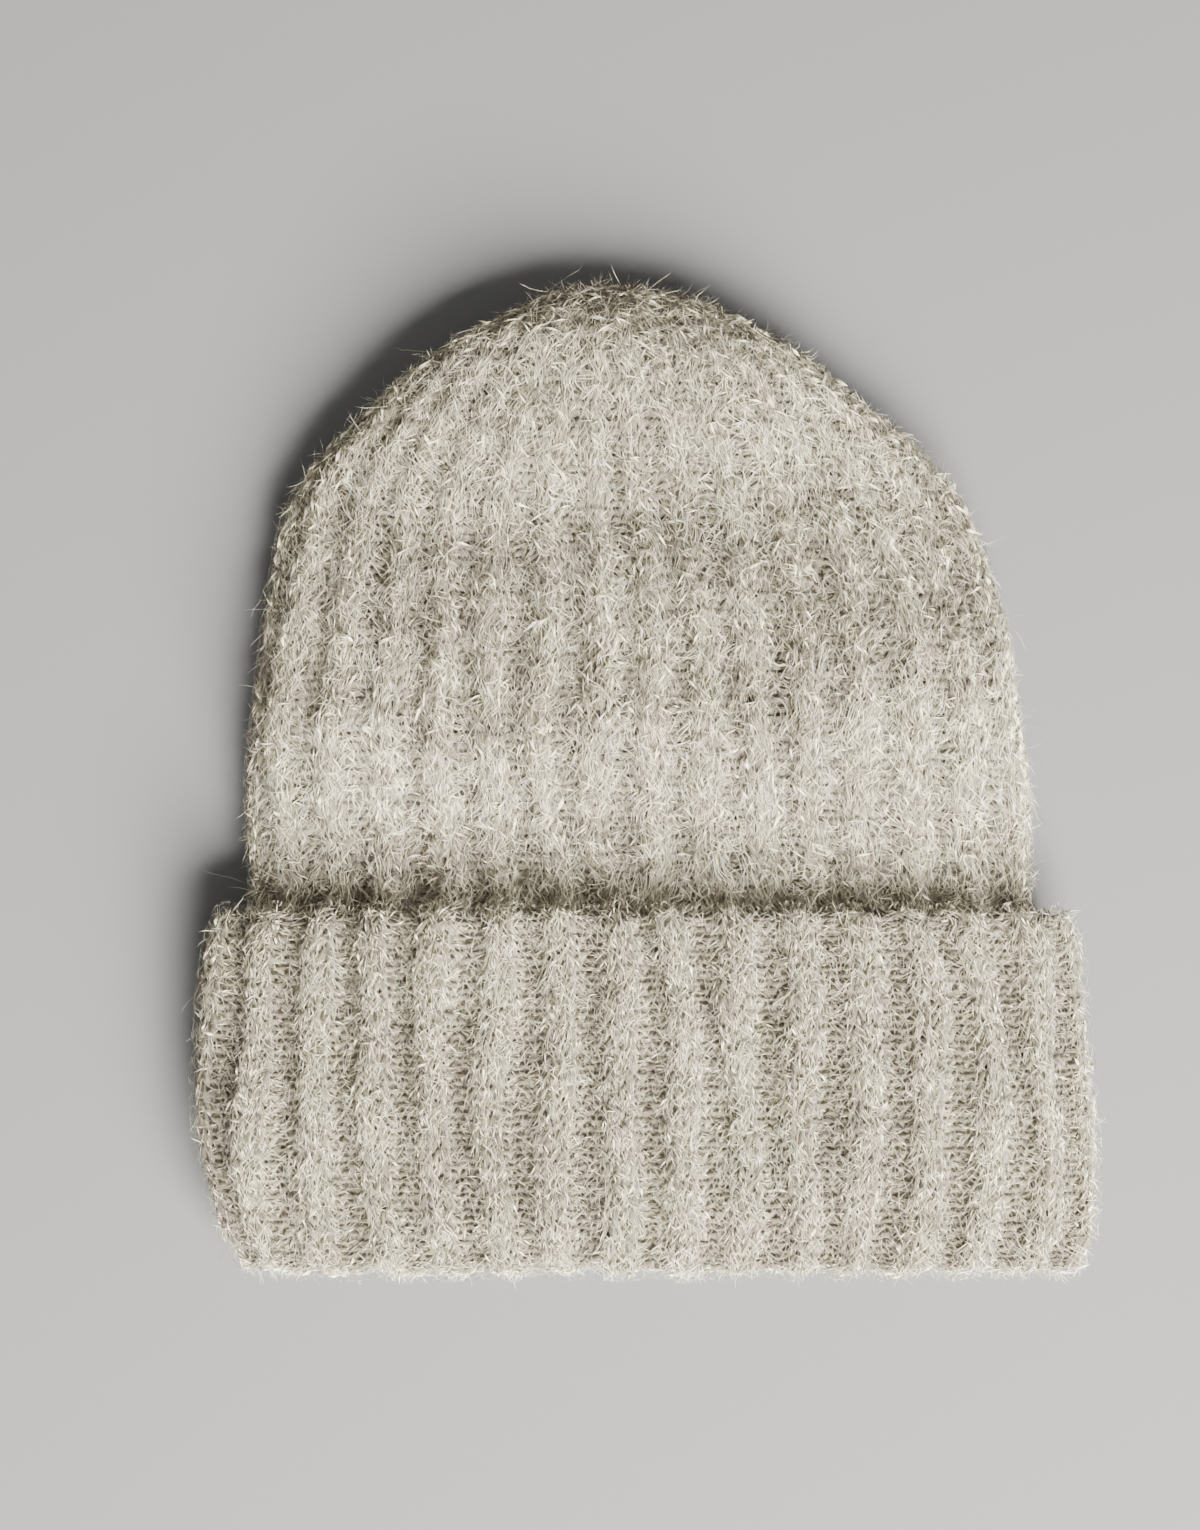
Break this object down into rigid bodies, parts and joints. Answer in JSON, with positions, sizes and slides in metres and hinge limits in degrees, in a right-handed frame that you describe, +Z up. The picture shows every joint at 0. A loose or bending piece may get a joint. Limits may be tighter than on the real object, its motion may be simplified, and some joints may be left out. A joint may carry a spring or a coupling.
{
  "type": "knit cap",
  "caption": "Ribbed knit cap in brushed wool with a turned-up cuff, lying flat and open at its folded edge.",
  "frame": {"origin": "middle of the cap's footprint, on the surface that it lies on", "axes": "+Z up from the surface, +Y from the folded head opening towards the tip of the crown, +X to the right when the tip points away"},
  "size_m": [0.2228, 0.2468, 0.0309],
  "materials": {
    "crown_knit": "brushed rib knit, oatmeal, hairy and matt",
    "cuff_knit": "brushed rib knit, oatmeal, hairy and matt, with the stitches showing"
  },
  "bodies": {
    "root": {"crown": "crown_knit", "cuff": "cuff_knit"}
  },
  "joints": []
}
